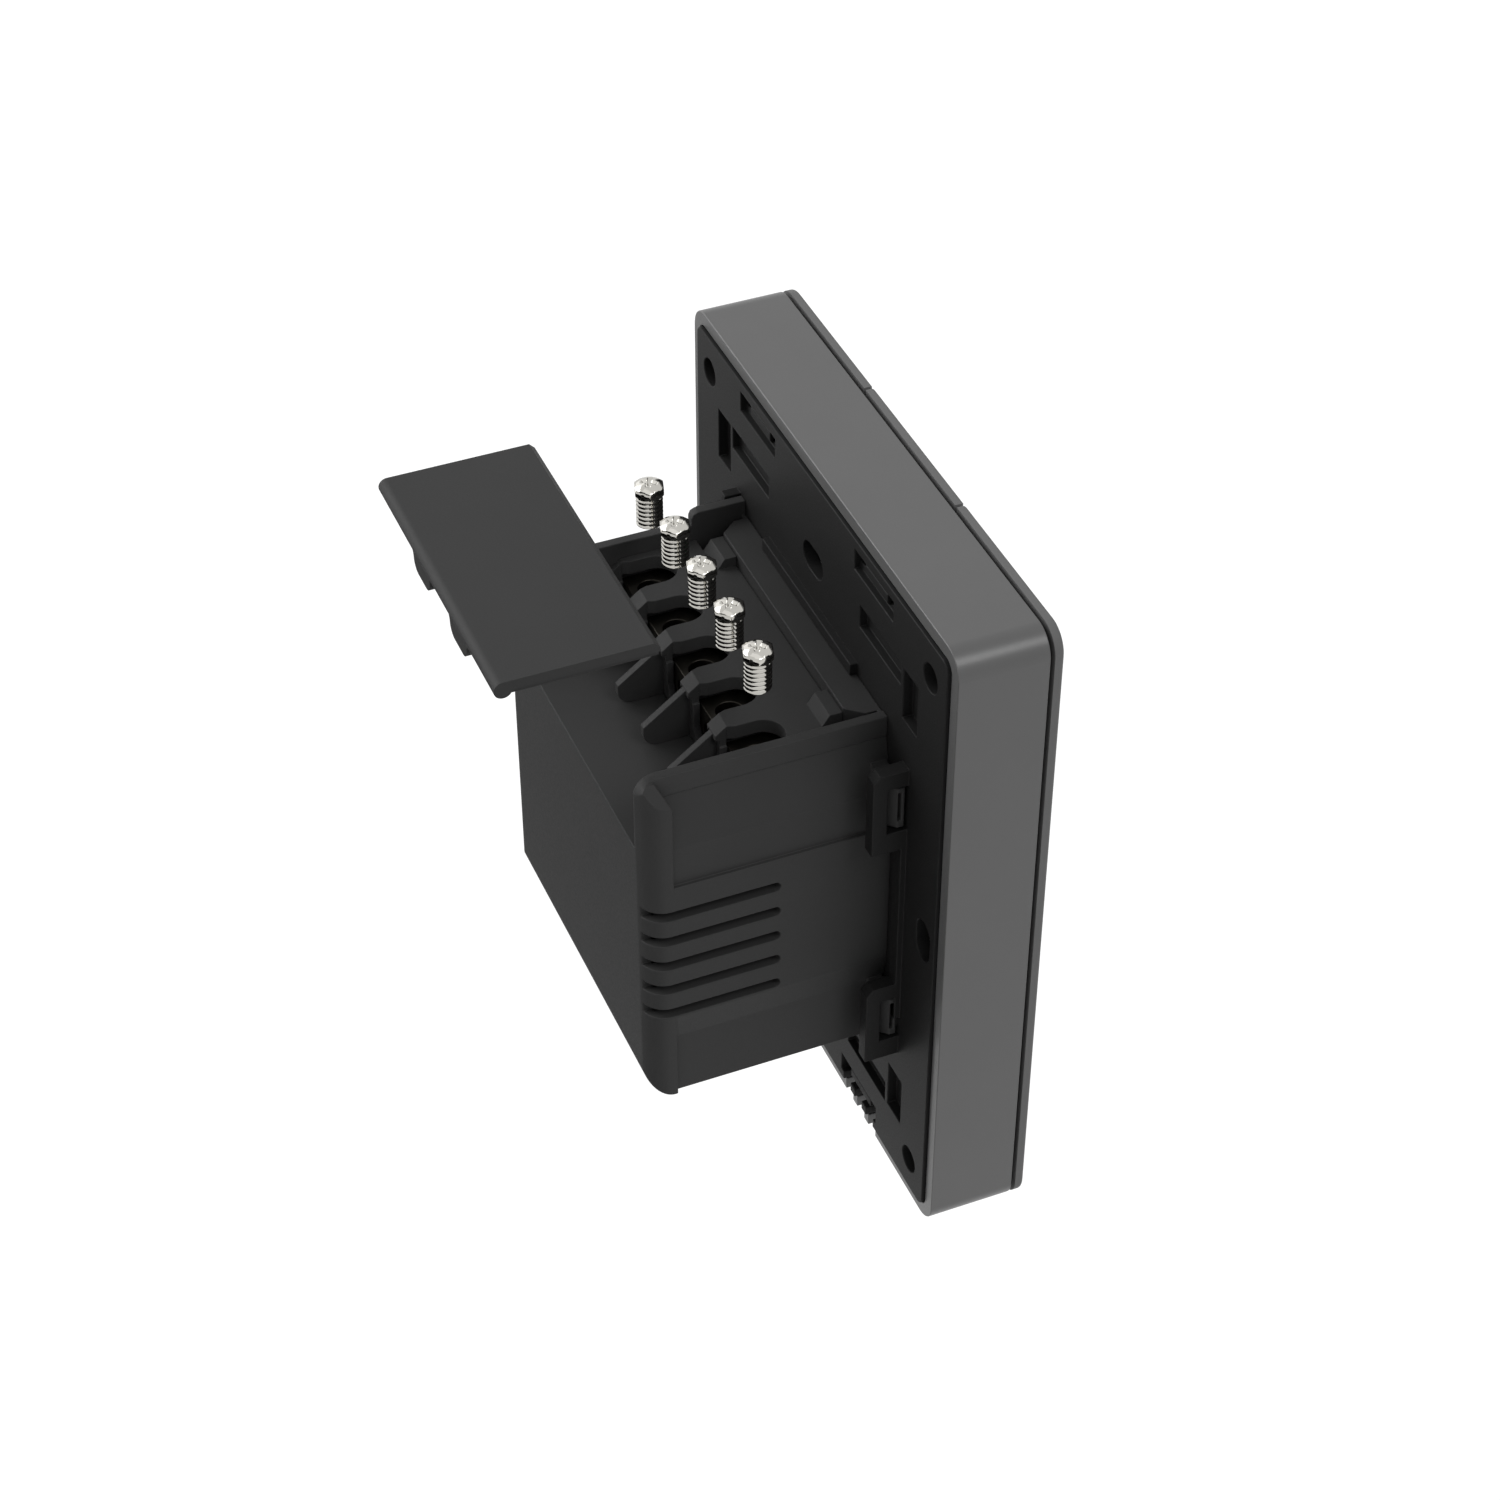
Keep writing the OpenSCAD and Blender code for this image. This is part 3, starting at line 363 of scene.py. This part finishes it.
class LIGHTSWITCH_OT_panel(bpy.types.Operator):
    """Finish the face frame, the keys with their light pipes, and the back plate"""

    bl_idname = "light_switch.panel"
    bl_label = "Panel"

    def execute(self, context):
        look = context.scene.light_switch_finish
        satin = moulded_abs(
            "Frame ABS", look.frame_colour, look.grain, roughness=0.35, specular=0.42
        )
        dark = moulded_abs("Plate ABS", look.plate_colour, look.grain)
        # The hooks in the plate's slots get the dark plate material as painted shade.
        paint_shade_on_hooks(soften("face_frame", look.edge, satin), dark)
        keys = moulded_abs("Key ABS", look.key_colour, look.grain)
        pipe = clear_polycarbonate("Light pipe polycarbonate", linear("#eef2f6"))
        for side in SIDES:
            soften(f"key_{side}", look.edge, keys, limited=True)
            soften(f"light_pipe_{side}", 0.08 * MM, pipe)
        soften("back_plate", look.edge, dark)
        return {"FINISHED"}


class LIGHTSWITCH_OT_module(bpy.types.Operator):
    """Finish the module housing and the terminal carrier with its fins"""

    bl_idname = "light_switch.module"
    bl_label = "Module"

    def execute(self, context):
        look = context.scene.light_switch_finish
        plastic = moulded_abs("Housing ABS", look.housing_colour, look.grain)
        soften("rear_housing", look.edge, plastic, join=0.1 * MM)
        soften("terminal_carrier", 0.6 * look.edge, plastic)
        return {"FINISHED"}


class LIGHTSWITCH_OT_cover(bpy.types.Operator):
    """Finish the terminal cover"""

    bl_idname = "light_switch.cover"
    bl_label = "Terminal cover"

    def execute(self, context):
        look = context.scene.light_switch_finish
        plastic = moulded_abs("Cover ABS", look.cover_colour, look.grain)
        soften("terminal_cover", look.edge, plastic, limited=True)
        return {"FINISHED"}


def electronics():
    """What each hidden part is finished in: its node, its edge and its material."""
    board = glossy_resin("Solder resist on glass fibre", linear("#1d5435"))
    black = moulded_abs("Black component moulding", linear("#161617"), 0.2 * MM)
    tin = plated_metal("Tinned sheet steel", linear("#b8bab8"), 0.3)
    pins = plated_metal("Gilt contact pins", linear("#c9a557"), 0.25)
    zinc = plated_metal("Zinc-plated steel", linear("#a3a39e"), 0.35)
    rows = [(name, 0.05 * MM, board) for name in ("control_board", "radio_board", "power_board")]
    rows += [(f"button_{side}", 0.15 * MM, black) for side in SIDES]
    relay = glossy_resin("Relay case", linear("#1b1b1d"))
    rows += [(f"relay_{k}", 0.2 * MM, relay) for k in RELAYS]
    plunger = moulded_abs("Plunger acetal", linear("#c4c4bc"), 0.2 * MM)
    rows += [(f"plunger_{side}", 0.1 * MM, plunger) for side in SIDES]
    rows += [
        ("indicator_lights", 0.1 * MM, glossy_resin("Light resin", linear("#ece8d8"))),
        ("radio_shield", 0.08 * MM, tin),
        ("board_socket", 0.08 * MM, black),
        ("board_header", 0.05 * MM, pins),
        ("board_screws", 0.08 * MM, zinc),
        ("transformer", 0.2 * MM, moulded_abs("Ferrite and tape", linear("#3a3128"), 0.3 * MM)),
        ("capacitor", 0.3 * MM, glossy_resin("Capacitor sleeve", linear("#1c2a52"))),
        ("fuse", 0.3 * MM, glossy_resin("Fuse moulding", linear("#c4b184"))),
        ("varistor", 0.3 * MM, glossy_resin("Dipped epoxy", linear("#2c4f8a"))),
    ]
    return rows


class LIGHTSWITCH_OT_electronics(bpy.types.Operator):
    """Finish the boards and what they carry"""

    bl_idname = "light_switch.electronics"
    bl_label = "Electronics"

    def execute(self, context):
        for name, edge, material in electronics():
            soften(name, edge, material)
        return {"FINISHED"}


class LIGHTSWITCH_OT_terminals(bpy.types.Operator):
    """Finish the brass terminal blocks in a very dark grey metal"""

    bl_idname = "light_switch.terminals"
    bl_label = "Terminal blocks"

    def execute(self, context):
        # The blocks are coloured a very dark grey, far darker than bare brass.
        brass = plated_metal("Very dark grey brass", linear("#35332f"), 0.4)
        for k in SCREWS:
            soften(f"terminal_block_{k}", 0.12 * MM, brass)
        return {"FINISHED"}


def cut_level(bm, height, side):
    """Cuts away what lies over (side 1) or under (side -1) a height, and closes the cut."""
    bmesh.ops.bisect_plane(
        bm, geom=[*bm.verts, *bm.edges, *bm.faces], plane_co=(0, 0, height), plane_no=(0, 0, side),
        clear_outer=True,
    )
    open_edges = [e for e in bm.edges if e.is_boundary]
    level = [e for e in open_edges if all(abs(v.co.z - height) < TOUCHING for v in e.verts)]
    bmesh.ops.edgeloop_fill(bm, edges=level)


def threaded_shank(bm, centre, radius, bottom, top, look):
    """Sweeps one turn of a V thread up a helix, then cuts both ends square and closes them."""
    root = radius - look.depth
    profile = ((root, 0), (radius, THREAD_CREST[0]), (radius, THREAD_CREST[1]), (root, 1))
    start = bottom - 1.5 * look.pitch
    turns = math.ceil((top - start) / look.pitch) + 1
    points = [
        bm.verts.new((centre.x + out, centre.y, start + share * look.pitch))
        for out, share in profile
    ]
    edges = [bm.edges.new(pair) for pair in zip(points, points[1:])]
    steps = turns * look.facets
    bmesh.ops.spin(
        bm, geom=points + edges, cent=centre, axis=(0, 0, 1), angle=math.tau * turns, steps=steps,
        dvec=(0, 0, look.pitch / look.facets), use_merge=False,
    )
    bmesh.ops.remove_doubles(bm, verts=bm.verts, dist=TOUCHING)
    for height, side in ((bottom, -1), (top, 1)):
        cut_level(bm, height, side)


class LIGHTSWITCH_OT_screws(bpy.types.Operator):
    """Model the terminal screws with real threads under the head"""

    bl_idname = "light_switch.screws"
    bl_label = "Terminal screws"

    def execute(self, context):
        look = context.scene.light_switch_screws
        nickel = plated_metal("Bright nickel plate", look.colour, 0.1)
        for k in SCREWS:
            name = f"terminal_screw_{k}"
            low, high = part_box(name)
            centre = Vector(((low.x + high.x) / 2, (low.y + high.y) / 2, 0))
            neck = low.z + look.length - HEAD_OVERLAP
            bm = bmesh.new()
            bm.from_mesh(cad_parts[name].data)
            bmesh.ops.remove_doubles(bm, verts=bm.verts, dist=TOUCHING)
            cut_level(bm, neck, -1)
            shank = bmesh.new()
            threaded_shank(shank, centre, SCREW_RADIUS, low.z, neck + HEAD_OVERLAP / 2, look)
            mesh = bpy.data.meshes.new("thread")
            shank.to_mesh(mesh)
            shank.free()
            bm.from_mesh(mesh)
            bpy.data.meshes.remove(mesh)
            piece_from(bm, f"threaded_screw_{k}", nickel, name, "screw_nickel", name)
        return {"FINISHED"}


def direction(azimuth, elevation):
    """Unit vector towards a viewer at an azimuth and an elevation; azimuth 0 looks along +Y."""
    flat = math.cos(elevation)
    return Vector((math.sin(azimuth) * flat, -math.cos(azimuth) * flat, math.sin(elevation)))


def photo_camera():
    """The photograph's camera."""
    data = bpy.data.cameras.new("Photo camera")
    data.lens = FOCAL_LENGTH
    data.clip_start, data.clip_end = 0.01, 20
    camera = bpy.data.objects.new("Photo camera", data)
    camera.location = CAMERA_PLACE
    back = direction(VIEW_AZIMUTH, VIEW_ELEVATION)
    camera.rotation_mode = "QUATERNION"
    camera.rotation_quaternion = (-back).to_track_quat("-Z", "Y")
    bpy.context.scene.collection.objects.link(camera)
    bpy.context.scene.camera = camera


def softbox(name, azimuth, elevation, width, power):
    """A square area lamp that faces the switch from a given side."""
    data = bpy.data.lights.new(name, "AREA")
    data.shape = "SQUARE"
    data.size = width
    data.energy = power
    lamp = bpy.data.objects.new(name, data)
    out = direction(math.radians(azimuth), math.radians(elevation))
    lamp.location = out * LAMP_DISTANCE
    lamp.rotation_mode = "QUATERNION"
    lamp.rotation_quaternion = out.to_track_quat("Z", "Y")
    bpy.context.scene.collection.objects.link(lamp)


def seen_directly(tree):
    """1 for rays from the camera, from a mirror-like surface or through clear plastic, else 0."""
    rays = add_node(tree, "ShaderNodeLightPath").outputs
    seen = rays["Is Camera Ray"]
    for kind in ("Is Glossy Ray", "Is Transmission Ray"):
        larger = add_node(
            tree, "ShaderNodeMath", links={0: seen, 1: rays[kind]}, operation="MAXIMUM"
        )
        seen = larger.outputs[0]
    return seen


def white_room(ambient):
    """World that looks white and lights the switch with a plain, softer level."""
    world = bpy.data.worlds.new("White room")
    world.use_nodes = True
    tree = world.node_tree
    tree.nodes.clear()
    limits = {"To Min": ambient, "To Max": 1.0}
    strength = add_node(tree, "ShaderNodeMapRange", limits, {"Value": seen_directly(tree)})
    light = add_node(
        tree, "ShaderNodeBackground", {"Color": (1, 1, 1, 1)},
        {"Strength": strength.outputs["Result"]},
    )
    add_node(tree, "ShaderNodeOutputWorld", links={"Surface": light.outputs[0]})
    bpy.context.scene.world = world


def paper_white(name):
    """Pale paper that looks white where it is lit and keeps a soft shadow."""
    material = empty_material(name)
    tree = material.node_tree
    paper = add_node(
        tree, "ShaderNodeBsdfDiffuse", {"Color": (0.8, 0.8, 0.8, 1), "Roughness": 0.3}
    )
    glow = add_node(tree, "ShaderNodeEmission", {"Color": (1, 1, 1, 1), "Strength": 0.8})
    shaded = add_node(tree, "ShaderNodeBsdfDiffuse", {"Color": (0.3, 0.3, 0.3, 1)})
    bright = add_node(
        tree, "ShaderNodeAddShader", links={0: glow.outputs[0], 1: shaded.outputs[0]}
    )
    mix = add_node(
        tree, "ShaderNodeMixShader",
        links={0: seen_directly(tree), 1: paper.outputs[0], 2: bright.outputs[0]},
    )
    return finish_surface(material, mix)


def black_card(name):
    """Matt black card, which gives bright metal something dark to reflect."""
    material = empty_material(name)
    shader = add_node(
        material.node_tree, "ShaderNodeBsdfDiffuse", {"Color": (0.004, 0.004, 0.004, 1)}
    )
    return finish_surface(material, shader)


def flat_sheet(name, half, place, material):
    """A level square sheet of the surroundings, which isn't part of the switch."""
    bm = bmesh.new()
    bmesh.ops.create_grid(bm, x_segments=1, y_segments=1, size=half)
    bmesh.ops.translate(bm, verts=bm.verts, vec=place)
    mesh = bpy.data.meshes.new(name)
    bm.to_mesh(mesh)
    bm.free()
    mesh.materials.append(material)
    sheet = bpy.data.objects.new(name, mesh)
    bpy.context.scene.collection.objects.link(sheet)
    return sheet


class LIGHTSWITCH_OT_stage(bpy.types.Operator):
    """Set the floor, the lamps, the white room and the camera"""

    bl_idname = "light_switch.stage"
    bl_label = "Stage"

    def execute(self, context):
        look = context.scene.light_switch_stage
        ground = CAD_BOX[0][2] - look.floor_drop
        flat_sheet("floor", FLOOR_HALF, (0, 0, ground), paper_white("Pale paper"))
        place = (*CARD_PLACE, ground + CARD_LIFT)
        card = flat_sheet("dark_card", CARD_HALF, place, black_card("Black card"))
        card.visible_camera = card.visible_diffuse = card.visible_shadow = False
        for name, azimuth, elevation, width, power in SOFTBOXES:
            softbox(name, azimuth, elevation, width, power * look.level)
        white_room(look.ambient)
        photo_camera()
        context.scene.view_settings.view_transform = "Standard"
        return {"FINISHED"}


class LIGHTSWITCH_PT_sidebar(bpy.types.Panel):
    """Lists the steps that build the light switch"""

    bl_idname = "LIGHTSWITCH_PT_sidebar"
    bl_label = "Light Switch"
    bl_space_type = "VIEW_3D"
    bl_region_type = "UI"
    bl_category = "Light Switch"

    def draw(self, context):
        for operator in STEPS:
            self.layout.operator(operator.bl_idname)


STEPS = (
    LIGHTSWITCH_OT_panel,
    LIGHTSWITCH_OT_module,
    LIGHTSWITCH_OT_cover,
    LIGHTSWITCH_OT_electronics,
    LIGHTSWITCH_OT_terminals,
    LIGHTSWITCH_OT_screws,
    LIGHTSWITCH_OT_stage,
)
SETTINGS = {
    "light_switch_finish": MouldedFinish,
    "light_switch_screws": ScrewDetail,
    "light_switch_stage": Stage,
}


def register():
    """Registers the settings, the steps and the panel."""
    for made in (*SETTINGS.values(), *STEPS, LIGHTSWITCH_PT_sidebar):
        bpy.utils.register_class(made)
    for name, group in SETTINGS.items():
        setattr(bpy.types.Scene, name, PointerProperty(type=group))


def unregister():
    """Takes back what register() did."""
    for name in SETTINGS:
        delattr(bpy.types.Scene, name)
    for made in (LIGHTSWITCH_PT_sidebar, *reversed(STEPS), *reversed(SETTINGS.values())):
        bpy.utils.unregister_class(made)


def main():
    """Builds every piece and the stage."""
    register()
    for operator in STEPS:
        group, name = operator.bl_idname.split(".")
        getattr(getattr(bpy.ops, group), name)()


if __name__ == "__main__":
    main()
